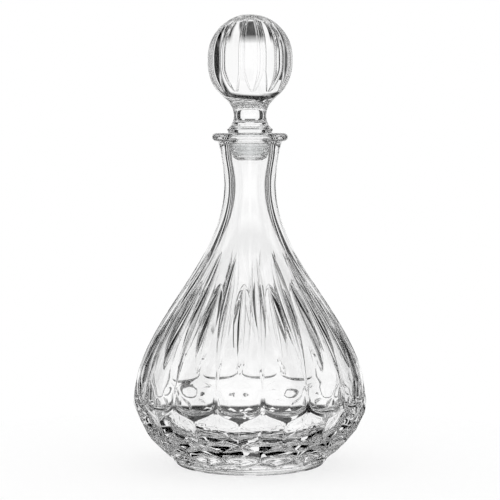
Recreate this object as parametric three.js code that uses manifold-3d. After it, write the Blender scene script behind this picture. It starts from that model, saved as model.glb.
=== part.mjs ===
// Cut-glass wine decanter with a ball stopper.
// Millimetres, +Z up, with its foot on z = 0 and its axis on Z.
import * as THREE from "three";
import { ParametricGeometry } from "three/addons/geometries/ParametricGeometry.js";
import { mergeVertices } from "three/addons/utils/BufferGeometryUtils.js";
import Module from "manifold-3d";

const wasm = await Module();
wasm.setup();

const { abs, acos, asin, cos, sin, sqrt, PI } = Math;
const { clamp, degToRad, lerp, smoothstep } = THREE.MathUtils;

// Decanter, outside. Radii are to the ridges left between the cuts.
const bellyRadius = 77.8;
const neckRadius = 17.25;
const mouthHeight = 221.6; // top of the lip
const neckBelowMouth = 35.1; // from the lip's top down to where the neck is narrowest
const shoulderStart = 42; // where the shoulder's curve leaves the widest place
const underLipRadius = 21.2;
const lipOverhang = 4; // how far the lip reaches out beyond the neck below it
const lipBeadRadius = 2.7;
const footRadius = 44.7; // outer edge of the flat ring it stands on
const footRingWidth = 9;
const footRound = 7;
const footRecess = 4;

// Decanter, inside
const bellyWall = 7.5; // at the widest place, from the ridges between the cuts
const neckWall = 6.05; // where the neck is narrowest
const cavityHeight = 46; // where the inside is widest
const floorHeight = 14.5;
const floorSquareness = 3.2; // 2 is an ellipse, and more is a flatter floor with a tighter corner
const seatBore = 13.8;
const seatDepth = 9.5; // how far the stopper's seat reaches down from the top of the lip
const seatTaper = 0.07; // growth of the seat's radius for each millimetre up
const mouthChamfer = 1.3;

// The cuts repeat round the body. Half of their columns end in a short blade, and half in a long one.
const cutRepeats = 16;
const cutTurn = degToRad(-5.2); // the short blade nearest the front, from -Y towards +X
const cornerLines = [
  // height below a short and below a long blade, and how far the ridge between two corners sinks
  { short: 4.9, long: 4.9, sink: 0 },
  { short: 7.8, long: 10.8, sink: 1 },
  { short: 24, long: 18, sink: 1.6 },
  { short: 35.4, long: 43.7, sink: 2.2 },
];
const facetDepths = [2, 3.6, 2.2]; // hollow of each row of facets, from the foot up
const undersideBow = 0.9; // less than 1 swells out sooner above the foot

// A belt of U-shaped thumb cuts, one below each short blade, fades out towards the blades
const thumbFoot = 43.5;
const thumbCorner = 50; // where a cut's foot has turned up into its sides
const thumbRoundness = 2.4; // 2 is an elliptical foot, and more is a squarer one
const thumbFull = 49; // below this height a cut has its full depth
const thumbTop = 62;
const thumbDepth = 1.8;
const thumbWall = 1.2; // how far in from its foot a cut reaches its depth
const ribbonWidth = 2.4; // plain strip left between two thumb cuts

const shortBlade = { foot: 69.4, top: 124.5, width: 11.3, widest: 0.6, blunt: 0.5 };
const longBlade = { foot: 58.8, top: 144, width: 9.6, widest: 0.6, blunt: 0.8 };
const bladeSlope = 0.5; // depth of a blade's crease for each millimetre of its half width

// Stopper above the lip, with heights from the lip's top
const ballRadius = 28.5;
const ballStretch = 3.6; // straight band between the two halves of the ball
const waistRadius = 10.8;
const waistHeight = 11.4;
const stemCurve = 13.02; // radius of the hollow between the waist and the ball
const collarOverhang = 0.84; // how far the collar reaches out beyond the seat's rim
const collarHeight = 2.4;
const fluteCount = 12;
const fluteTurn = degToRad(4);
const fluteLand = degToRad(2.6); // ridge left between two flutes
const fluteSlope = 0.24; // depth of a flute's crease for each millimetre of its half width
const fluteBottom = degToRad(-43);
const fluteFull = degToRad(-12);
const fluteNarrows = degToRad(66);
const fluteTop = degToRad(82);

// Plug and its sleeve, with heights down from the lip's top
const sealTop = 4.6;
const sealLength = 9.4;
const sealWall = 0.9;
const sealTaper = 0.25;
const sealRibs = [8.2, 4.6]; // how far each rib's middle is below the sleeve's top edge
const ribHeight = 0.3;
const ribHalfWidth = 0.8;
const plugTipLength = 3.6;
const plugBand = 1.1; // straight band between the sleeve's seat and the tip
const plugChamfer = 3.19; // how far the tip's end is drawn in from that band
const fitGap = 0.3; // between neighbouring pieces

// Fineness
const roundSegments = 48;
const facetSteps = [2, 3, 3];
const thumbSteps = 3;
const shortBladeSteps = 8;
const longBladeSteps = 3;
const floorSteps = 7;
const shoulderSteps = 9;
const seatSteps = 5;
const neckSteps = 6;
const curveSteps = 4;

const neckHeight = mouthHeight - neckBelowMouth;
const halfPitch = PI / cutRepeats;
const bellyHeight = cornerLines.at(-1).long;
const footTop = cornerLines[0].short;

// A closed surface as a manifold-3d solid, without the triangles that vanish where columns meet
function solidOf(geometry) {
  geometry.deleteAttribute("normal");
  geometry.deleteAttribute("uv");
  const merged = mergeVertices(geometry, 1e-4);
  const corners = merged.index.array;
  const kept = [];
  for (let i = 0; i < corners.length; i += 3) {
    const [a, b, c] = corners.slice(i, i + 3);
    if (a !== b && b !== c && c !== a) kept.push(a, b, c);
  }
  return new wasm.Manifold(
    new wasm.Mesh({
      numProp: 3,
      vertProperties: merged.attributes.position.array,
      triVerts: new Uint32Array(kept),
    }),
  );
}

function geometryOf(solid) {
  const mesh = solid.getMesh();
  const geometry = new THREE.BufferGeometry();
  geometry.setAttribute("position", new THREE.BufferAttribute(mesh.vertProperties, 3));
  geometry.setIndex(new THREE.BufferAttribute(mesh.triVerts, 1));
  geometry.computeVertexNormals();
  return geometry;
}

// Splits the squares of each mirrored half along their other diagonal, so that both halves of a cut match
function mirrorDiagonals(geometry, slices, columns) {
  const corners = geometry.index.array;
  for (let square = 0; square < corners.length / 6; square++) {
    if ((square % slices) % (2 * columns) < columns) continue;
    const [a, b, d, , c] = corners.slice(6 * square, 6 * square + 6);
    corners.set([a, b, c, a, c, d], 6 * square);
  }
}

// A closed surface from rows of points. A row gives the place of each column, from the middle of a cut (0)
// to half-way to the next one (the last). The other half mirrors it, and the whole repeats round the axis.
function repeatedSurface(rows, repeats, turn, columns) {
  const slices = repeats * columns * 2;
  const place = (u, v, target) => {
    const slice = Math.round(u * slices) % slices;
    const step = slice % (2 * columns);
    const side = step > columns ? -1 : 1;
    const nearestMiddle = Math.round((slice - side / 2) / (2 * columns));
    const row = rows[Math.round(v * (rows.length - 1))];
    const point = row(side > 0 ? step : 2 * columns - step);
    const angle = turn + (nearestMiddle * 2 * PI) / repeats + side * point.angle;
    target.set(point.radius * sin(angle), -point.radius * cos(angle), point.height);
  };
  const geometry = new ParametricGeometry(place, slices, rows.length - 1);
  mirrorDiagonals(geometry, slices, columns);
  return geometry;
}

// A surface of revolution about Z from points [radius, height] that run anticlockwise
function revolved(points) {
  const outline = points.map(([radius, height]) => new THREE.Vector2(radius, height));
  return new THREE.LatheGeometry(outline, roundSegments).rotateX(PI / 2);
}

// Points after the start of a stretch, up to and with its end
function along(steps, pointAt) {
  return Array.from({ length: steps }, (_, i) => pointAt((i + 1) / steps));
}

// From one value to another with a level start and end
function ease(from, to, share) {
  return lerp(from, to, (1 - cos(PI * clamp(share, 0, 1))) / 2);
}

function shoulderRadius(height) {
  return ease(bellyRadius, neckRadius, (height - shoulderStart) / (neckHeight - shoulderStart));
}

function undersideRadius(height) {
  const share = (height - footTop) / (bellyHeight - footTop);
  const footTopRadius = footRadius + sqrt(footRound ** 2 - (footRound - footTop) ** 2);
  return lerp(footTopRadius, bellyRadius, sin((PI / 2) * share ** undersideBow));
}

function blankRadius(height) {
  return height < bellyHeight ? undersideRadius(height) : shoulderRadius(height);
}

// Half width of a blade, which has a point at each end
function bladeHalfWidth(blade, height) {
  const sharp = (blade.blunt * blade.widest) / (1 - blade.widest);
  const swell = (share) => share ** sharp * (1 - share) ** blade.blunt;
  const share = clamp((height - blade.foot) / (blade.top - blade.foot), 0, 1);
  return ((blade.width / 2) * swell(share)) / swell(blade.widest);
}

// Column 0 runs down the middle of the short blades and the last one down the middle of the long blades.
// The columns between them lie at these shares of the land's width, one at the side of the thumb cuts.
const thumbSide = 1 - ribbonWidth / (2 * halfPitch * bellyRadius);
const landShares = [0, thumbSide / 2, thumbSide, 1];
const bodyColumns = landShares.length + 1;

function landShare(column) {
  return landShares[clamp(column - 1, 0, landShares.length - 1)];
}

function plainBodyRow([radius, height]) {
  return (column) => ({ angle: landShare(column) * halfPitch, radius, height });
}

function cornerPoint(line, across) {
  const sink = line.sink * across * (1 - across);
  return {
    height: lerp(line.short, line.long, across),
    radius: lerp(blankRadius(line.short), blankRadius(line.long), across) - sink,
  };
}

// Share of a hollow's full depth, at a share of the way from its edge (0) to its middle (1)
function bowl(share) {
  return share * (2 - share);
}

// Part of the way up a row of hollow facets. The first and third rows are centred below the long blades.
function facetRow(index, up) {
  const centre = index % 2 === 0 ? 1 : 0;
  return (column) => {
    const across = landShare(column);
    const below = cornerPoint(cornerLines[index], across);
    const above = cornerPoint(cornerLines[index + 1], across);
    const hollow = bowl(1 - abs(across - centre)) * bowl(1 - abs(2 * up - 1));
    return {
      angle: across * halfPitch,
      height: lerp(below.height, above.height, up),
      radius: lerp(below.radius, above.radius, up) - facetDepths[index] * hollow,
    };
  };
}

// Height of a thumb cut's foot, which is level below the blade and turns up into the sides
function thumbLine(across) {
  const aside = clamp(across / thumbSide, 0, 1);
  return lerp(thumbCorner, thumbFoot, (1 - aside ** thumbRoundness) ** (1 / thumbRoundness));
}

// Across the thumb cuts, part of the way up from the inside of their feet to the feet of the blades
function thumbRow(up) {
  return (column) => {
    const across = landShare(column);
    const bladeFoot = lerp(shortBlade.foot, longBlade.foot, across);
    const height = lerp(thumbLine(across) + thumbWall, bladeFoot, up);
    const fade = smoothstep(thumbTop - height, 0, thumbTop - thumbFull);
    const hollow = thumbDepth * bowl(clamp(1 - across / thumbSide, 0, 1)) * fade;
    return { angle: across * halfPitch, height, radius: blankRadius(height) - hollow };
  };
}

// Across the blades, part of the way from their feet to the top of the long ones
function bladeRow(up) {
  const shortHeight = lerp(shortBlade.foot, longBlade.top, up);
  const longHeight = lerp(longBlade.foot, longBlade.top, up);
  const shortHalf = bladeHalfWidth(shortBlade, shortHeight);
  const longHalf = bladeHalfWidth(longBlade, longHeight);
  const shortEdge = shortHalf / blankRadius(shortHeight);
  const longEdge = halfPitch - longHalf / blankRadius(longHeight);
  const pointAt = (angle, depth) => {
    const height = lerp(shortHeight, longHeight, angle / halfPitch);
    return { angle, height, radius: blankRadius(height) - depth };
  };
  return (column) => {
    if (column === 0) return pointAt(0, bladeSlope * shortHalf);
    if (column === bodyColumns) return pointAt(halfPitch, bladeSlope * longHalf);
    return pointAt(lerp(shortEdge, longEdge, landShare(column)), 0);
  };
}

function footRows() {
  const inner = footRadius - footRingWidth;
  const reach = acos(1 - footTop / footRound);
  const rim = along(curveSteps, (share) => [
    footRadius + footRound * sin(reach * share),
    footRound * (1 - cos(reach * share)),
  ]);
  return [
    [0, footRecess],
    [inner - footRecess, footRecess],
    [inner, 0],
    [footRadius, 0],
    ...rim,
  ].map(plainBodyRow);
}

function facetRows() {
  return facetSteps.flatMap((steps, index) => along(steps, (up) => facetRow(index, up)));
}

function thumbRows() {
  const foot = (column) => {
    const across = landShare(column);
    const height = thumbLine(across);
    return { angle: across * halfPitch, height, radius: blankRadius(height) };
  };
  return [foot, thumbRow(0), ...along(thumbSteps, thumbRow)];
}

function bladeRows() {
  const shortEnd = (shortBlade.top - shortBlade.foot) / (longBlade.top - shortBlade.foot);
  return [
    ...along(shortBladeSteps, (share) => bladeRow(share * shortEnd)),
    ...along(longBladeSteps, (share) => bladeRow(lerp(shortEnd, 1, share))),
  ];
}

function neckRows() {
  const lipRadius = underLipRadius + lipOverhang;
  const underLip = mouthHeight - 2 * lipBeadRadius;
  const neck = along(neckSteps, (share) => lerp(longBlade.top, neckHeight, share));
  const flare = along(curveSteps, (share) => [
    lerp(neckRadius, underLipRadius, share ** 2),
    lerp(neckHeight, underLip, share),
  ]);
  const bead = along(curveSteps + 1, (share) => [
    lipRadius - lipBeadRadius * (1 - sin(PI * share)),
    mouthHeight - lipBeadRadius * (1 + cos(PI * share)),
  ]);
  const shoulder = neck.map((height) => [shoulderRadius(height), height]);
  return [...shoulder, ...flare, ...bead, [0, mouthHeight]].map(plainBodyRow);
}

function seatRadius(height) {
  return seatBore + seatTaper * (height - (mouthHeight - seatDepth));
}

// Floor with a rounded corner, shoulder, bore, seat and chamfered mouth, running out above the lip
function cavityPoints() {
  const cavityRadius = bellyRadius - bellyWall;
  const neckBore = neckRadius - neckWall;
  const corner = (share) => sin((PI / 2) * share) ** (2 / floorSquareness);
  const floor = along(floorSteps, (share) => [
    cavityRadius * corner(share),
    lerp(cavityHeight, floorHeight, corner(1 - share)),
  ]);
  const shoulder = along(shoulderSteps, (share) => [
    ease(cavityRadius, neckBore, share),
    lerp(cavityHeight, neckHeight, share),
  ]);
  const widening = along(seatSteps, (share) => [
    ease(neckBore, seatBore, share),
    lerp(neckHeight, mouthHeight - seatDepth, share),
  ]);
  const chamferFoot = mouthHeight - mouthChamfer;
  const outside = mouthHeight + mouthChamfer;
  return [
    [0, floorHeight],
    ...floor,
    ...shoulder,
    ...widening,
    [seatRadius(chamferFoot), chamferFoot],
    [seatRadius(chamferFoot) + outside - chamferFoot, outside],
    [0, outside],
  ];
}

function decanterBody() {
  const rows = [...footRows(), ...facetRows(), ...thumbRows(), ...bladeRows(), ...neckRows()];
  const blank = solidOf(repeatedSurface(rows, cutRepeats, cutTurn, bodyColumns));
  return geometryOf(blank.subtract(solidOf(revolved(cavityPoints()))));
}

const sealHigh = mouthHeight - sealTop;
const sealLow = sealHigh - sealLength;
const waist = mouthHeight + waistHeight;
const coneLatitude = -PI / 4; // where the ball's underside goes over into the stem

// Outside of the sleeve's cone at a height, which the plug carries on above and below it
function sealRadius(height) {
  return seatRadius(sealHigh) - fitGap - sealTaper * (sealHigh - height);
}

// Tip, band, the sleeve's seat, and the shoulder above the sleeve
function plugPoints() {
  const seatLow = sealLow - fitGap;
  const seatHigh = sealHigh + fitGap;
  const inset = sealWall + fitGap;
  return [
    [0, sealLow - plugTipLength],
    [sealRadius(sealLow) - plugChamfer, sealLow - plugTipLength],
    [sealRadius(sealLow), seatLow - plugBand],
    [sealRadius(sealLow), seatLow],
    [sealRadius(seatLow) - inset, seatLow],
    [sealRadius(seatHigh) - inset, seatHigh],
    [sealRadius(sealHigh), seatHigh],
    [seatRadius(mouthHeight) - fitGap, mouthHeight],
  ];
}

// Collar, a concave waist, and the hollow that runs out at 45 degrees to the ball
function stemPoints() {
  const collarRadius = seatRadius(mouthHeight) + collarOverhang;
  const collar = mouthHeight + collarHeight;
  const collarWidth = collarRadius - waistRadius;
  const collarCurve = (collarWidth ** 2 + (waist - collar) ** 2) / (2 * collarWidth);
  const reach = asin((waist - collar) / collarCurve);
  const fromCollar = along(curveSteps, (share) => [
    waistRadius + collarCurve * (1 - cos(reach * (1 - share))),
    waist - collarCurve * sin(reach * (1 - share)),
  ]);
  const toBall = along(curveSteps, (share) => [
    waistRadius + stemCurve * (1 - cos(coneLatitude * share)),
    waist - stemCurve * sin(coneLatitude * share),
  ]);
  return [[collarRadius, collar], ...fromCollar, ...toBall];
}

const ballLowCentre = waist - waistRadius - stemCurve + (ballRadius + stemCurve) * sqrt(2);
const ballHighCentre = ballLowCentre + ballStretch;

// Column 0 runs down the bottom of the flutes, the next down their edges, and the last down the middle
// of the ridges between them.
const stopperColumns = 3;
const halfFlute = PI / fluteCount;

function plainStopperRow([radius, height]) {
  const share = (column) => clamp((column - 1) / (stopperColumns - 1), 0, 1);
  return (column) => ({ angle: share(column) * halfFlute, radius, height });
}

// Across the flutes, at a latitude on the upper or the lower half of the ball
function ballRow(latitude, centre) {
  const opening = clamp((latitude - fluteBottom) / (fluteFull - fluteBottom), 0, 1);
  const closing = clamp((fluteTop - latitude) / (fluteTop - fluteNarrows), 0, 1);
  const edge = (halfFlute - fluteLand / 2) * sqrt(opening) * closing;
  const depth = fluteSlope * ballRadius * cos(latitude) * edge;
  const angles = [0, edge, (edge + halfFlute) / 2, halfFlute];
  return (column) => {
    const distance = ballRadius - (column === 0 ? depth : 0);
    return {
      angle: angles[column],
      radius: distance * cos(latitude),
      height: centre + distance * sin(latitude),
    };
  };
}

function stopper() {
  const lowHalf = along(curveSteps + 2, (share) => ballRow(lerp(coneLatitude, 0, share), ballLowCentre));
  const highHalf = along(2 * curveSteps, (share) => ballRow((PI / 2) * share, ballHighCentre));
  const rows = [
    ...[...plugPoints(), ...stemPoints()].map(plainStopperRow),
    ballRow(coneLatitude, ballLowCentre),
    ...lowHalf,
    ballRow(0, ballHighCentre),
    ...highHalf,
  ];
  return geometryOf(solidOf(repeatedSurface(rows, fluteCount, fluteTurn, stopperColumns)));
}

// Tapered sleeve with low ribs outside and a plain inside
function stopperSeal() {
  const ribs = sealRibs.flatMap((middle) =>
    [-1, 0, 1].map((side) => {
      const height = sealHigh - middle + side * ribHalfWidth;
      return [sealRadius(height) + (side === 0 ? ribHeight : 0), height];
    }),
  );
  const outline = [
    [sealRadius(sealHigh) - sealWall, sealHigh],
    [sealRadius(sealLow) - sealWall, sealLow],
    [sealRadius(sealLow), sealLow],
    ...ribs,
    [sealRadius(sealHigh), sealHigh],
    [sealRadius(sealHigh) - sealWall, sealHigh],
  ];
  return geometryOf(solidOf(revolved(outline)));
}

const clearGlass = { color: 0xf4f7f7, roughness: 0.02, opacity: 0.35 };
const translucentPlastic = { color: 0xdfe2e2, roughness: 0.35, opacity: 0.6 };

function piece(name, geometry, look) {
  const material = new THREE.MeshStandardMaterial({ metalness: 0, transparent: true, ...look });
  const mesh = new THREE.Mesh(geometry, material);
  mesh.name = name;
  return mesh;
}

const decanter = new THREE.Group();
decanter.add(piece("decanter_body", decanterBody(), clearGlass));
decanter.add(piece("stopper", stopper(), clearGlass));
decanter.add(piece("stopper_seal", stopperSeal(), translucentPlastic));

export default decanter;
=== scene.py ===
import bpy
import numpy as np
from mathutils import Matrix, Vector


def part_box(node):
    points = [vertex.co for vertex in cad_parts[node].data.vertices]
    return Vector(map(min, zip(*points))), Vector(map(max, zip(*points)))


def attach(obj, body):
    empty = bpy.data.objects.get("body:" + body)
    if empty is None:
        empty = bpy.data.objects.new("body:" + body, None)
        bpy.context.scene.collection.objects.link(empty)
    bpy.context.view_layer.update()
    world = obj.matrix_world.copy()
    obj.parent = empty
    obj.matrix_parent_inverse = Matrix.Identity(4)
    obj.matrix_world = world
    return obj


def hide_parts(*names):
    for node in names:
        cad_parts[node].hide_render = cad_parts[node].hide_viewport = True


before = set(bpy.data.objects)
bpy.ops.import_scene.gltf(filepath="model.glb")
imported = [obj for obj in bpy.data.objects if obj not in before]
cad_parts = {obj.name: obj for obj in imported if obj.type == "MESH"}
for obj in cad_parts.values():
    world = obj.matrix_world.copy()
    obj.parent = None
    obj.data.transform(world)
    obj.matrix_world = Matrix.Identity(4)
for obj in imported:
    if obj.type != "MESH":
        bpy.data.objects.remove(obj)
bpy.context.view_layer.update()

MM = 0.001
TINY = 1e-9
INSIDE_BOX = 0.03 * MM  # how far the belly stays inside the CAD model's


def widest(node):
    """The greatest distance from the axis of a CAD node's vertices"""
    points = np.array([v.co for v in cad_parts[node].data.vertices])
    return np.hypot(points[:, 0], points[:, 1]).max()


# Sizes taken from the CAD model
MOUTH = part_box("decanter_body")[1].z
BALL_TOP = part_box("stopper")[1].z
PLUG_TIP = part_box("stopper")[0].z
SEAL_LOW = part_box("stopper_seal")[0].z
SEAL_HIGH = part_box("stopper_seal")[1].z
BELLY_RADIUS = widest("decanter_body") - INSIDE_BOX

# Body, outside
NECK_RADIUS = 17.25 * MM
NECK_HEIGHT = 186.5 * MM
SHOULDER_START = 42 * MM
UNDER_LIP_RADIUS = 21.2 * MM
LIP_RADIUS = 25.2 * MM
LIP_BEAD = 2.7 * MM
FOOT_RADIUS = 44.7 * MM
FOOT_RING = 9 * MM
FOOT_ROUND = 7 * MM
FOOT_RECESS = 4.0 * MM
FOOT_EDGE_ROUND = 1.2 * MM

# Body, inside
CAVITY_RADIUS = 70.3 * MM
CAVITY_HEIGHT = 46 * MM
FLOOR_HEIGHT = 14.5 * MM
FLOOR_SQUARENESS = 3.2
NECK_BORE = 11.2 * MM
SEAT_BORE = 13.8 * MM
SEAT_DEPTH = 9.5 * MM
SEAT_TAPER = 0.07
MOUTH_CHAMFER = 1.3 * MM
MOUTH_EDGE_ROUND = 0.8 * MM

# Cuts of the body
REPEATS = 16
CUT_TURN = np.radians(-5.2)
HALF_PITCH = np.pi / REPEATS
LINES = (  # heights below a short and a long blade, and sink of the ridge between, in millimetres
    (4.9, 4.9, 0),
    (7.8, 10.8, 1),
    (24, 18, 1.6),
    (35.4, 43.7, 2.2),
)
FOOT_TOP = LINES[0][0] * MM
BELLY_HEIGHT = LINES[3][1] * MM
UNDERSIDE_BOW = 0.9  # less than 1 swells out sooner above the foot
FACET_DEPTHS = (2.0 * MM, 3.6 * MM, 2.2 * MM)
RIDGE_BAND = 1.3 * MM  # width of the rounded ridge between two facets
RIBBON = 2.4 * MM  # plain strip between two thumb cuts
THUMB_FOOT = 43.5 * MM
THUMB_CORNER = 50 * MM  # where a thumb cut's foot has turned up into its sides
THUMB_ROUND = 2.4
THUMB_DEPTH = 1.4 * MM  # of its bowl, below the step at its edge
THUMB_EDGE = 0.4 * MM
THUMB_WALL = 1.2 * MM  # how far in from its outline a thumb cut reaches its depth
THUMB_TOP = 62 * MM
THUMB_FADE = 13 * MM
THUMB_CREST = 0.02  # share of a thumb cut's half width that is rounded at its side
SHORT_BLADE = {"foot": 69.4 * MM, "top": 124.5 * MM, "width": 11.3 * MM, "widest": 0.6, "blunt": 0.5}
LONG_BLADE = {"foot": 58.8 * MM, "top": 144 * MM, "width": 9.6 * MM, "widest": 0.6, "blunt": 0.8}
BLADE_SLOPE = 0.46  # fall of a blade's two faces for each metre in from its edge
EDGE_WIDTH = 0.8 * MM
EDGE_DEPTH = 0.5 * MM
EDGE_SHARE = 0.3  # of its half width that a cut's edge takes up at most

# Stopper
BALL_RADIUS = 28.5 * MM
BALL_STRETCH = 3.6 * MM
WAIST_RADIUS = 10.8 * MM
WAIST_HEIGHT = 11.4 * MM
COLLAR_RADIUS = 15.3 * MM
COLLAR_HEIGHT = 2.4 * MM
FLARE_START = 0.9  # share of the collar's curve that is left above its rounded edge
FLUTES = 12
FLUTE_TURN = np.radians(4)
HALF_FLUTE = np.pi / FLUTES
FLUTE_LAND = np.radians(2.6)
FLUTE_SLOPE = 0.24
FLUTE_EDGE_WIDTH = 0.9 * MM
FLUTE_EDGE_DEPTH = 0.9 * MM
CONE_LATITUDE = np.radians(-45)
FLUTE_BOTTOM = np.radians(-43)
FLUTE_FULL = np.radians(-12)
FLUTE_NARROWS = np.radians(66)
FLUTE_TOP = np.radians(82)

# Plug and sleeve
SEAL_WALL = 0.9 * MM
SEAL_TAPER = 0.25
RIBS = (8.2 * MM, 4.6 * MM)
RIB_HEIGHT = 0.3 * MM
RIB_HALF_WIDTH = 0.8 * MM
PLUG_TIP_RADIUS = 8.3 * MM
PLUG_BAND = 1.1 * MM
PLUG_EDGE_ROUND = 0.35 * MM
SEAL_EDGE_ROUND = 0.25 * MM
FIT_GAP = 0.3 * MM

CORNER_SHARE = 0.4  # of the shorter side that a rounded corner takes up at most

# Fineness: rows up each stretch
FACET_ROWS = (6, 9, 10)
BAND_ROWS = 4
THUMB_ROWS = 14
SHORT_ROWS = 34
LONG_ROWS = 12
RIM_ROWS = 8
NECK_ROWS = 21
FLARE_ROWS = 15
BEAD_ROWS = 14
BORE_ROWS = 13
SHOULDER_ROWS = 33
FLOOR_ROWS = 29
STEM_ROWS = 13
BALL_ROWS = (25, 47)

# Camera and light
CAMERA_DISTANCE = 1.38
CAMERA_HEIGHT = 0.234
CAMERA_PITCH = np.radians(3.74)
CAMERA_LENS = 149.5
# What glass sees: white panels, between pairs of degrees either side of straight behind
BRIGHT = ((0, 26), (42.5, 47.5), (58, 62), (74, 106), (135, 180))
BRIGHT_BELOW = ((14, 22), (43, 47), (80, 100), (131, 139), (172, 180))
BELOW = -17  # degrees up where the lower panels take over
BELOW_SOFTNESS = 5
SOFTNESS = 1.5  # degrees either side of a panel's edge
ABOVE = ((36, 1), (40, 0))  # degrees up, and the share of the panels' light there
LID = ((52, 0), (56, 1))  # degrees up, and how white it is there
DARK = 0.0
PAINTED_SHADE = ((0.14, 0.0), (0.24, 1.0))  # painted shade seen through the glass: distance out on the floor, and how white it is there
SPOKES = 8  # painted light: white spokes on the painted shade of that floor
SPOKE_REACH = 0.1
SPOKE_SHARE = 0.22
FLOOR_RADIUS = 0.26
FLOOR_CORNERS = 64
PAPER_GREY = (0.3, 0.3, 0.3, 1)
PAPER_GLOW = 0.7
WHITE = (1, 1, 1, 1)
BOUNCES = 24
GLOSSY_BOUNCES = 12

# Glass and plastic
GLASS_IOR = 1.52
BODY_WAVES = 0.03 * MM
STOPPER_WAVES = 0.02 * MM
WAVE_SCALE = 45
WEAR_SCALE = 900
WEAR = (0.55, 0.8, 0.0, 0.01)  # the noise's share where wear starts and is full, and the roughness there
PLASTIC_COLOUR = (0.93, 0.94, 0.94, 1)
PLASTIC_IOR = 1.5
PLASTIC_CLEARNESS = 0.95
PLASTIC_ROUGHNESS = (0.1, 0.25)
GRAIN_SCALE = 1500
GRAIN_DEPTH = 0.05 * MM
GRAIN_STRENGTH = 0.3


def mix(a, b, t):
    return a + (b - a) * t


def shares(steps):
    """Even shares after 0, up to and with 1"""
    return np.linspace(0, 1, steps + 1)[1:]


def clustered(steps):
    """Shares from 0 to 1 that lie closer together near both ends"""
    return (1 - np.cos(np.pi * np.arange(steps + 1) / steps)) / 2


def ease(a, b, t):
    return mix(a, b, (1 - np.cos(np.pi * np.clip(t, 0, 1))) / 2)


def shoulder_radius(z):
    return ease(BELLY_RADIUS, NECK_RADIUS, (z - SHOULDER_START) / (NECK_HEIGHT - SHOULDER_START))


def underside_radius(z):
    share = np.clip((z - FOOT_TOP) / (BELLY_HEIGHT - FOOT_TOP), 0, 1)
    start = FOOT_RADIUS + np.sqrt(FOOT_ROUND**2 - (FOOT_ROUND - FOOT_TOP) ** 2)
    return mix(start, BELLY_RADIUS, np.sin(np.pi / 2 * share**UNDERSIDE_BOW))


def blank_radius(z):
    return np.where(z < BELLY_HEIGHT, underside_radius(z), shoulder_radius(z))


def blade_half_width(blade, z):
    sharp = blade["blunt"] * blade["widest"] / (1 - blade["widest"])

    def swell(t):
        return t**sharp * (1 - t) ** blade["blunt"]

    share = np.clip((z - blade["foot"]) / (blade["top"] - blade["foot"]), 0, 1)
    return blade["width"] / 2 * swell(share) / swell(blade["widest"])


def from_ridge(share, band):
    """Share of a hollow, from 0 on its ridge to 1 at its middle, with the ridge rounded over a band"""
    lifted = np.where(share < band, share**2 / (2 * band), share - band / 2)
    return (2 * lifted - share**2) / (1 - band)


# Columns across half a blade: shares of its face, shares of its edge, and the depth left on the edge
GROOVE_FACE = np.array([0, 0.08, 0.4, 1, 1, 1, 1])
GROOVE_EDGE = np.array([0, 0, 0, 0, 0.33, 0.67, 1])
GROOVE_DROP = np.array([1, 0.75, 0.25, 0])
GROOVE_STEPS = len(GROOVE_FACE) - 1


def groove(half):
    """Distances from the middle of a cut of a half width to its edge, and the depths there"""
    wall = min(EDGE_WIDTH, EDGE_SHARE * half)
    step = EDGE_DEPTH * wall / EDGE_WIDTH
    out = GROOVE_FACE * (half - wall) + GROOVE_EDGE * wall
    depth = step + BLADE_SLOPE * (half - wall) - BLADE_SLOPE * out
    depth[0] = depth[1]
    depth[3:] = step * GROOVE_DROP
    return out, depth


# Columns across half the land between two blades, closer together at the side of the thumb cuts
LAND = np.array([0, 0.08, 0.22, 0.4, 0.58, 0.74, 0.85, 0.885, 0.91, 0.955, 1])
ACROSS = np.concatenate([np.zeros(GROOVE_STEPS), LAND, np.ones(GROOVE_STEPS)])


def body_ring(radius, z):
    """A plain round row of the body: angle, radius and height of each column"""
    return np.stack([ACROSS * HALF_PITCH, np.full(ACROSS.shape, radius), np.full(ACROSS.shape, z)])


def corner_row(index):
    short, long, sink = (value * MM for value in LINES[index])
    radius = mix(blank_radius(short), blank_radius(long), ACROSS) - sink * ACROSS * (1 - ACROSS)
    return radius, mix(short, long, ACROSS)


def edge_wall(inward, width):
    """Share of its depth that a cut reaches at a distance in from its outline"""
    share = np.clip(inward / width, 0, 1)
    return share * share * (3 - 2 * share)


BELT_HALF = HALF_PITCH * BELLY_RADIUS
BELT_INSIDE = 1 - RIBBON / 2 / BELT_HALF


def belt_rows():
    """The band left below the belt of thumb-shaped cuts, and the cuts up to the feet of the blades"""
    aside = np.clip(ACROSS / BELT_INSIDE, 0, 1)
    round_corner = 1 - (1 - aside**THUMB_ROUND) ** (1 / THUMB_ROUND)
    start = corner_row(3)[1]
    thumb = mix(THUMB_FOOT, THUMB_CORNER, round_corner)
    end = mix(SHORT_BLADE["foot"], LONG_BLADE["foot"], ACROSS)
    rows = []
    for up in clustered(BAND_ROWS)[1:]:
        z = mix(start, thumb, up)
        rows.append(np.stack([ACROSS * HALF_PITCH, blank_radius(z), z]))
    for up in clustered(THUMB_ROWS)[1:]:
        z = mix(thumb, end, up)
        inward = np.minimum((BELT_INSIDE - ACROSS) * BELT_HALF, z - thumb)
        across = from_ridge(np.clip(1 - aside, 0, 1), THUMB_CREST)
        depth = (THUMB_EDGE + THUMB_DEPTH * across) * edge_wall(inward, THUMB_WALL)
        depth *= edge_wall(THUMB_TOP - z, THUMB_FADE)
        rows.append(np.stack([ACROSS * HALF_PITCH, blank_radius(z) - depth, z]))
    return rows


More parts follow.
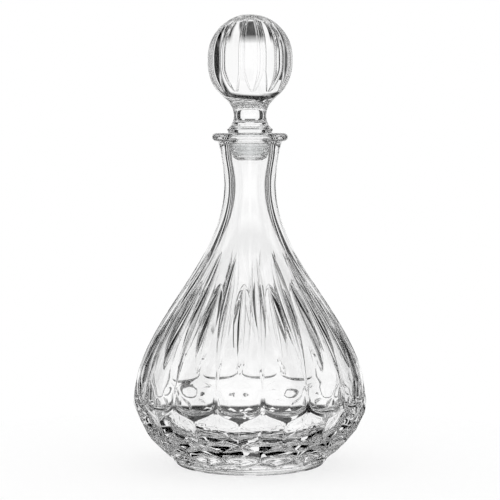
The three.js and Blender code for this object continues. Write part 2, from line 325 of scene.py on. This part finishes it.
def facet_row(index, up):
    below, above = corner_row(index), corner_row(index + 1)
    centre = 1 if index % 2 == 0 else 0
    half_width = HALF_PITCH * below[0]
    half_height = np.hypot(above[0] - below[0], above[1] - below[1]) / 2
    across = from_ridge(1 - np.abs(ACROSS - centre), RIDGE_BAND / half_width)
    upward = from_ridge(1 - abs(2 * up - 1), RIDGE_BAND / half_height)
    return np.stack([
        ACROSS * HALF_PITCH,
        mix(below[0], above[0], up) - FACET_DEPTHS[index] * across * upward,
        mix(below[1], above[1], up),
    ])


def blade_row(up):
    short_z = mix(SHORT_BLADE["foot"], LONG_BLADE["top"], up)
    long_z = mix(LONG_BLADE["foot"], LONG_BLADE["top"], up)
    short_half = blade_half_width(SHORT_BLADE, short_z)
    long_half = blade_half_width(LONG_BLADE, long_z)
    short_out, short_depth = groove(short_half)
    long_out, long_depth = groove(long_half)
    short_edge = short_half / blank_radius(short_z)
    long_edge = HALF_PITCH - long_half / blank_radius(long_z)
    angle = np.concatenate([
        short_out[:-1] / blank_radius(short_z),
        mix(short_edge, long_edge, LAND),
        HALF_PITCH - long_out[-2::-1] / blank_radius(long_z),
    ])
    depth = np.concatenate([short_depth[:-1], np.zeros(LAND.shape), long_depth[-2::-1]])
    z = mix(short_z, long_z, angle / HALF_PITCH)
    return np.stack([angle, blank_radius(z) - depth, z])


def rounded(points, radius, steps=3):
    """An outline of (radius, height) points with each inner corner rounded"""
    made = [np.array(points[0], float)]
    for before, corner, after in zip(points, points[1:], points[2:]):
        corner = np.array(corner, float)
        back = np.array(before) - corner
        on = np.array(after) - corner
        reach = min(radius, np.hypot(*back) * CORNER_SHARE, np.hypot(*on) * CORNER_SHARE)
        start = corner + back / np.hypot(*back) * reach
        end = corner + on / np.hypot(*on) * reach
        for t in np.linspace(0, 1, steps + 1):
            made.append(mix(mix(start, corner, t), mix(corner, end, t), t))
    made.append(np.array(points[-1], float))
    return made


def closed_mesh(name, rows, repeats, turn):
    """One closed surface from rows of half a cut, mirrored and repeated round the axis"""
    half = np.stack(rows)  # rows, (angle, radius, height), columns
    back = half[:, :, -2:0:-1]
    middle = np.zeros(half.shape[2] + back.shape[2])
    middle[half.shape[2]:] = 2 * np.pi / repeats
    one = np.concatenate([half, back * np.array([-1, 1, 1])[None, :, None]], axis=2)
    columns = one.shape[2]
    angle = np.concatenate(
        [one[:, 0] + middle + 2 * np.pi * k / repeats for k in range(repeats)], axis=1
    ) + turn
    radius = np.tile(one[:, 1], repeats)
    height = np.tile(one[:, 2], repeats)
    points = np.stack([radius * np.sin(angle), -radius * np.cos(angle), height], axis=2)
    ring = repeats * columns
    flat = points.reshape(-1, 3)
    _, first, merged = np.unique(
        np.round(flat * 1e7).astype(np.int64), axis=0, return_index=True, return_inverse=True
    )
    merged = merged.reshape(len(rows), ring)
    faces = []
    for below, above in zip(merged, merged[1:]):
        for a, b, c, d in zip(below, np.roll(below, -1), np.roll(above, -1), above):
            face = [p for p, q in ((a, d), (b, a), (c, b), (d, c)) if p != q]
            if len(face) > 2:
                faces.append(face)
    mesh = bpy.data.meshes.new(name)
    mesh.from_pydata(flat[first].tolist(), [], faces)
    mesh.polygons.foreach_set("use_smooth", [True] * len(mesh.polygons))
    mesh.validate()
    mesh.update()
    made = bpy.data.objects.new(name, mesh)
    bpy.context.scene.collection.objects.link(made)
    return made


def seat_radius(z):
    return SEAT_BORE + SEAT_TAPER * (z - (MOUTH - SEAT_DEPTH))


def body_rows():
    inner = FOOT_RADIUS - FOOT_RING
    reach = np.arccos(1 - FOOT_TOP / FOOT_ROUND)
    sole = [(0, FOOT_RECESS), (inner - FOOT_RECESS, FOOT_RECESS), (inner, 0), (FOOT_RADIUS, 0)]
    foot = rounded(sole, FOOT_EDGE_ROUND)
    rim = [
        (FOOT_RADIUS + FOOT_ROUND * np.sin(reach * t), FOOT_ROUND * (1 - np.cos(reach * t)))
        for t in shares(RIM_ROWS)
    ]
    rows = [body_ring(r, z) for r, z in [*foot, *rim]]
    for index, count in enumerate(FACET_ROWS):
        rows += [facet_row(index, up) for up in clustered(count)[1:]]
    rows += belt_rows()
    short_end = (SHORT_BLADE["top"] - SHORT_BLADE["foot"]) / (LONG_BLADE["top"] - SHORT_BLADE["foot"])
    rows += [blade_row(short_end * t) for t in clustered(SHORT_ROWS)[1:]]
    rows += [blade_row(mix(short_end, 1, t)) for t in clustered(LONG_ROWS)[1:]]
    neck = np.linspace(LONG_BLADE["top"], NECK_HEIGHT, NECK_ROWS + 1)[1:]
    rows += [body_ring(shoulder_radius(z), z) for z in neck]
    return rows + [body_ring(r, z) for r, z in lip_and_cavity()]


def lip_and_cavity():
    under = MOUTH - 2 * LIP_BEAD
    flare = [
        (mix(NECK_RADIUS, UNDER_LIP_RADIUS, t**2), mix(NECK_HEIGHT, under, t))
        for t in shares(FLARE_ROWS)
    ]
    bead = [
        (LIP_RADIUS - LIP_BEAD * (1 - np.sin(np.pi * t)), MOUTH - LIP_BEAD * (1 + np.cos(np.pi * t)))
        for t in np.linspace(0, 1, BEAD_ROWS + 1)
    ]
    foot = MOUTH - MOUTH_CHAMFER
    mouth = rounded(
        [
            bead[-1],
            (seat_radius(foot) + MOUTH_CHAMFER, MOUTH),
            (seat_radius(foot), foot),
            (SEAT_BORE, MOUTH - SEAT_DEPTH),
        ],
        MOUTH_EDGE_ROUND,
    )[1:]
    bore = [
        (ease(SEAT_BORE, NECK_BORE, t), mix(MOUTH - SEAT_DEPTH, NECK_HEIGHT, t))
        for t in shares(BORE_ROWS)
    ]
    shoulder = [
        (ease(NECK_BORE, CAVITY_RADIUS, t), mix(NECK_HEIGHT, CAVITY_HEIGHT, t))
        for t in shares(SHOULDER_ROWS)
    ]

    def corner(t):
        return np.sin(np.pi / 2 * t) ** (2 / FLOOR_SQUARENESS)

    floor = [
        (CAVITY_RADIUS * corner(1 - t), mix(CAVITY_HEIGHT, FLOOR_HEIGHT, corner(t)))
        for t in shares(FLOOR_ROWS)
    ]
    return [*flare, *bead, *mouth, *bore, *shoulder, *floor]


def seal_radius(z):
    return seat_radius(SEAL_HIGH) - FIT_GAP - SEAL_TAPER * (SEAL_HIGH - z)


# Columns across half a flute, as in a blade's groove, and then across half the ridge beside it
FLUTE_FACE = np.array([0, 0.2, 0.5, 0.8, 1, 1, 1])
FLUTE_EDGE = np.array([0, 0, 0, 0, 0, 0.5, 1])
FLUTE_DROP = np.array([0.5, 0])
RIDGE = np.linspace(0, 1, 4)
PLAIN_FACE = 0.9  # share of a plain row's columns that lie where the flutes are
PLAIN = np.concatenate([
    clustered(len(FLUTE_FACE) - 1)[:-1] * PLAIN_FACE,
    mix(PLAIN_FACE, 1, RIDGE),
])


def flute(half):
    """Distances from the middle of a flute of a half width to its edge, and the depths there"""
    wall = min(FLUTE_EDGE_WIDTH, EDGE_SHARE * half)
    step = FLUTE_EDGE_DEPTH * wall / FLUTE_EDGE_WIDTH
    out = FLUTE_FACE * (half - wall) + FLUTE_EDGE * wall
    depth = step + FLUTE_SLOPE * (half - wall) * (1 - (out / max(half - wall, TINY)) ** 2) / 2
    depth[5:] = step * FLUTE_DROP
    return out, depth


def stopper_ring(radius, z):
    return np.stack([PLAIN * HALF_FLUTE, np.full(PLAIN.shape, radius), np.full(PLAIN.shape, z)])


def ball_row(latitude, centre):
    opening = np.clip((latitude - FLUTE_BOTTOM) / (FLUTE_FULL - FLUTE_BOTTOM), 0, 1)
    closing = np.clip((FLUTE_TOP - latitude) / (FLUTE_TOP - FLUTE_NARROWS), 0, 1)
    edge = (HALF_FLUTE - FLUTE_LAND / 2) * np.sqrt(opening) * closing
    around = BALL_RADIUS * np.cos(latitude)
    out, depth = flute(around * edge)
    angle = np.concatenate([out[:-1] / max(around, MM), mix(edge, HALF_FLUTE, RIDGE)])
    depth = np.concatenate([depth[:-1], np.zeros(RIDGE.shape)])
    distance = BALL_RADIUS - depth
    return np.stack([angle, distance * np.cos(latitude), centre + distance * np.sin(latitude)])


def stopper_rows():
    high = BALL_TOP - BALL_RADIUS
    low = high - BALL_STRETCH
    seat_low, seat_high = SEAL_LOW - FIT_GAP, SEAL_HIGH + FIT_GAP
    inset = SEAL_WALL + FIT_GAP
    waist = MOUTH + WAIST_HEIGHT
    collar = MOUTH + COLLAR_HEIGHT
    wide = COLLAR_RADIUS - WAIST_RADIUS
    collar_curve = (wide**2 + (waist - collar) ** 2) / (2 * wide)
    reach = np.arcsin((waist - collar) / collar_curve)

    def flare_point(t):
        radius = WAIST_RADIUS + collar_curve * (1 - np.cos(reach * t))
        return radius, waist - collar_curve * np.sin(reach * t)

    plug = rounded(
        [
            (0, PLUG_TIP),
            (PLUG_TIP_RADIUS, PLUG_TIP),
            (seal_radius(SEAL_LOW), seat_low - PLUG_BAND),
            (seal_radius(SEAL_LOW), seat_low),
            (seal_radius(seat_low) - inset, seat_low),
            (seal_radius(seat_high) - inset, seat_high),
            (seal_radius(SEAL_HIGH), seat_high),
            (seat_radius(MOUTH) - FIT_GAP, MOUTH),
            (COLLAR_RADIUS, collar),
            flare_point(FLARE_START),
        ],
        PLUG_EDGE_ROUND,
    )
    flare = [flare_point(t) for t in np.linspace(FLARE_START, 0, STEM_ROWS + 1)[1:]]
    ball_curve = (low + WAIST_RADIUS - waist - BALL_RADIUS * np.sqrt(2)) / (np.sqrt(2) - 1)

    def cone_point(t):
        radius = WAIST_RADIUS + ball_curve * (1 - np.cos(CONE_LATITUDE * t))
        return radius, waist - ball_curve * np.sin(CONE_LATITUDE * t)

    cone = [cone_point(t) for t in shares(STEM_ROWS)]
    rows = [stopper_ring(r, z) for r, z in [*plug, *flare, *cone]]
    rows += [ball_row(latitude, low) for latitude in np.linspace(CONE_LATITUDE, 0, BALL_ROWS[0] + 1)]
    rows += [ball_row(latitude, high) for latitude in np.linspace(0, np.pi / 2, BALL_ROWS[1] + 1)]
    return rows


def seal_rows():
    ribs = []
    for middle in RIBS:
        z = SEAL_HIGH - middle
        ribs += [
            (seal_radius(z - RIB_HALF_WIDTH), z - RIB_HALF_WIDTH),
            (seal_radius(z) + RIB_HEIGHT, z),
            (seal_radius(z + RIB_HALF_WIDTH), z + RIB_HALF_WIDTH),
        ]
    outline = [
        (seal_radius((SEAL_LOW + SEAL_HIGH) / 2) - SEAL_WALL, (SEAL_LOW + SEAL_HIGH) / 2),
        (seal_radius(SEAL_LOW) - SEAL_WALL, SEAL_LOW),
        (seal_radius(SEAL_LOW), SEAL_LOW),
        *ribs,
        (seal_radius(SEAL_HIGH), SEAL_HIGH),
        (seal_radius(SEAL_HIGH) - SEAL_WALL, SEAL_HIGH),
        (seal_radius((SEAL_LOW + SEAL_HIGH) / 2) - SEAL_WALL, (SEAL_LOW + SEAL_HIGH) / 2),
    ]
    return [stopper_ring(r, z) for r, z in rounded(outline, SEAL_EDGE_ROUND)]


def new_material(name):
    material = bpy.data.materials.new(name)
    material.use_nodes = True
    tree = material.node_tree
    tree.nodes.clear()
    return material, tree


def node(tree, kind, inputs=None, **settings):
    made = tree.nodes.new(kind)
    for key, value in settings.items():
        setattr(made, key, value)
    for key, value in (inputs or {}).items():
        if isinstance(value, bpy.types.NodeSocket):
            tree.links.new(value, made.inputs[key])
        else:
            made.inputs[key].default_value = value
    return made


def maths(tree, operation, *values):
    return node(tree, "ShaderNodeMath", dict(enumerate(values)), operation=operation).outputs[0]


def noise(tree, scale, detail):
    place = node(tree, "ShaderNodeTexCoord").outputs["Object"]
    inputs = {"Vector": place, "Scale": scale, "Detail": detail}
    return node(tree, "ShaderNodeTexNoise", inputs).outputs["Fac"]


def mapped(tree, value, *limits):
    """A value taken from between the first two limits to between the last two"""
    names = ("From Min", "From Max", "To Min", "To Max")
    inputs = {"Value": value, **dict(zip(names, limits))}
    return node(tree, "ShaderNodeMapRange", inputs).outputs["Result"]


def glass(name, waves):
    """Clear glass with a faintly uneven surface and traces of polishing"""
    material, tree = new_material(name)
    rough = mapped(tree, noise(tree, WEAR_SCALE, 3), *WEAR)
    swell = node(tree, "ShaderNodeBump", {
        "Height": noise(tree, WAVE_SCALE, 1), "Strength": 1.0, "Distance": waves,
    })
    shader = node(tree, "ShaderNodeBsdfPrincipled", {
        "Base Color": WHITE,
        "Roughness": rough,
        "IOR": GLASS_IOR,
        "Transmission Weight": 1.0,
        "Normal": swell.outputs["Normal"],
    })
    node(tree, "ShaderNodeOutputMaterial", {"Surface": shader.outputs["BSDF"]})
    return material


def milky_plastic(name):
    """Translucent moulded plastic with a fine matt grain"""
    material, tree = new_material(name)
    grain = noise(tree, GRAIN_SCALE, 4)
    rough = mapped(tree, grain, 0.0, 1.0, *PLASTIC_ROUGHNESS)
    bump = node(tree, "ShaderNodeBump", {
        "Height": grain, "Strength": GRAIN_STRENGTH, "Distance": GRAIN_DEPTH,
    })
    shader = node(tree, "ShaderNodeBsdfPrincipled", {
        "Base Color": PLASTIC_COLOUR,
        "Roughness": rough,
        "IOR": PLASTIC_IOR,
        "Transmission Weight": PLASTIC_CLEARNESS,
        "Normal": bump.outputs["Normal"],
    })
    node(tree, "ShaderNodeOutputMaterial", {"Surface": shader.outputs["BSDF"]})
    return material


def dress(piece, body, cad_node, material):
    piece.data.materials.append(material)
    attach(piece, body)
    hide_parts(cad_node)


def ramp(tree, share, stops):
    """A grey level along a share from 0 to 1"""
    made = node(tree, "ShaderNodeValToRGB", {"Fac": share})
    while len(made.color_ramp.elements) < len(stops):
        made.color_ramp.elements.new(1)
    for element, (place, level) in zip(made.color_ramp.elements, stops):
        element.position = place
        element.color = (level, level, level, 1)
    return made.outputs["Color"]


def blend(tree, factor, off, on):
    return node(tree, "ShaderNodeMix", {"Factor": factor, 2: off, 3: on}, data_type="FLOAT").outputs[0]


def panels(bright):
    """Ramp stops for bright panels between pairs of angles from straight behind"""
    stops = []
    for low, high in bright:
        stops += [(low - SOFTNESS, DARK), (low + SOFTNESS, 1)]
        stops += [(high - SOFTNESS, 1), (high + SOFTNESS, DARK)]
    return [(degrees / 180, level) for degrees, level in stops if 0 < degrees < 180]


def through_glass(tree):
    """1 for a ray that comes from the camera by way of glass or a reflection"""
    path = node(tree, "ShaderNodeLightPath").outputs
    bent = maths(tree, "MAXIMUM", path["Is Glossy Ray"], path["Is Transmission Ray"])
    return maths(tree, "MULTIPLY", bent, maths(tree, "LESS_THAN", path["Diffuse Depth"], 0.5))


def studio_world():
    """White behind the object, and to the glass a ring of white panels with dark gaps between them"""
    world = bpy.data.worlds.new("studio")
    bpy.context.scene.world = world
    world.use_nodes = True
    tree = world.node_tree
    tree.nodes.clear()
    direction = node(tree, "ShaderNodeTexCoord").outputs["Generated"]
    part = node(tree, "ShaderNodeSeparateXYZ", {"Vector": direction})
    around = maths(tree, "ARCTAN2", maths(tree, "ABSOLUTE", part.outputs["X"]), part.outputs["Y"])
    share = maths(tree, "DIVIDE", around, np.pi)
    lowest, highest = np.sin(np.radians([BELOW - BELOW_SOFTNESS, BELOW + BELOW_SOFTNESS]))
    below = mapped(tree, part.outputs["Z"], lowest, highest)
    lower = ramp(tree, share, panels(BRIGHT_BELOW))
    level = blend(tree, below, lower, ramp(tree, share, panels(BRIGHT)))
    height = maths(tree, "DIVIDE", maths(tree, "ARCSINE", part.outputs["Z"]), np.pi / 2)
    top = ramp(tree, height, [(degrees / 90, value) for degrees, value in ABOVE])
    lid = ramp(tree, height, [(degrees / 90, value) for degrees, value in LID])
    level = maths(tree, "MAXIMUM", maths(tree, "MULTIPLY", level, top), lid)
    level = blend(tree, through_glass(tree), 1.0, level)
    shader = node(tree, "ShaderNodeBackground", {"Color": WHITE, "Strength": level})
    node(tree, "ShaderNodeOutputWorld", {"Surface": shader.outputs[0]})


def painted_light_spokes(tree, place, distance):
    """1 on the painted light spokes that run out from the middle of the floor"""
    part = node(tree, "ShaderNodeSeparateXYZ", {"Vector": place}).outputs
    turn = maths(tree, "MULTIPLY", maths(tree, "ARCTAN2", part["X"], part["Y"]), float(SPOKES))
    limit = float(np.cos(np.pi * SPOKE_SHARE))
    spoke = maths(tree, "GREATER_THAN", maths(tree, "COSINE", turn), limit)
    return maths(tree, "MULTIPLY", spoke, maths(tree, "LESS_THAN", distance, SPOKE_REACH))


def floor():
    mesh = bpy.data.meshes.new("floor")
    around = np.linspace(0, 2 * np.pi, FLOOR_CORNERS, endpoint=False)
    corners = [(FLOOR_RADIUS * np.cos(a), FLOOR_RADIUS * np.sin(a), 0) for a in around]
    mesh.from_pydata(corners, [], [list(range(FLOOR_CORNERS))])
    made = bpy.data.objects.new("floor", mesh)
    bpy.context.scene.collection.objects.link(made)
    material, tree = new_material("floor_paper_and_painted_shade")
    diffuse = node(tree, "ShaderNodeBsdfDiffuse", {"Color": PAPER_GREY})
    glow = node(tree, "ShaderNodeEmission", {"Color": WHITE, "Strength": PAPER_GLOW})
    paper = node(tree, "ShaderNodeAddShader", {0: diffuse.outputs[0], 1: glow.outputs[0]})
    place = node(tree, "ShaderNodeTexCoord").outputs["Object"]
    distance = node(tree, "ShaderNodeVectorMath", {0: place}, operation="LENGTH").outputs["Value"]
    share = maths(tree, "DIVIDE", distance, FLOOR_RADIUS)
    # Seen through the glass, the floor glows with painted shade: dark round the foot, white further out,
    # with painted light spokes and no real shadow in it
    painted_shade_level = ramp(tree, share, [(reach / FLOOR_RADIUS, value) for reach, value in PAINTED_SHADE])
    level = maths(tree, "MAXIMUM", painted_shade_level, painted_light_spokes(tree, place, distance))
    painted_light_and_shade = node(tree, "ShaderNodeEmission", {"Color": WHITE, "Strength": level})
    choice = {0: through_glass(tree), 1: paper.outputs[0], 2: painted_light_and_shade.outputs[0]}
    shown = node(tree, "ShaderNodeMixShader", choice)
    node(tree, "ShaderNodeOutputMaterial", {"Surface": shown.outputs[0]})
    mesh.materials.append(material)


def camera():
    data = bpy.data.cameras.new("camera")
    data.lens = CAMERA_LENS
    made = bpy.data.objects.new("camera", data)
    bpy.context.scene.collection.objects.link(made)
    made.location = (0, -CAMERA_DISTANCE, CAMERA_HEIGHT)
    made.rotation_euler = (np.pi / 2 - CAMERA_PITCH, 0, 0)
    bpy.context.scene.camera = made


bpy.context.scene.view_settings.view_transform = "Standard"
bpy.context.scene.cycles.max_bounces = BOUNCES
bpy.context.scene.cycles.transmission_bounces = BOUNCES
bpy.context.scene.cycles.glossy_bounces = GLOSSY_BOUNCES

dress(
    closed_mesh("body_glass", body_rows(), REPEATS, CUT_TURN),
    "decanter", "decanter_body", glass("body_glass", BODY_WAVES),
)
dress(
    closed_mesh("stopper_glass", stopper_rows(), FLUTES, FLUTE_TURN),
    "stopper", "stopper", glass("stopper_glass", STOPPER_WAVES),
)
dress(
    closed_mesh("seal_sleeve", seal_rows(), FLUTES, 0.0),
    "seal", "stopper_seal", milky_plastic("seal_plastic"),
)
floor()
studio_world()
camera()
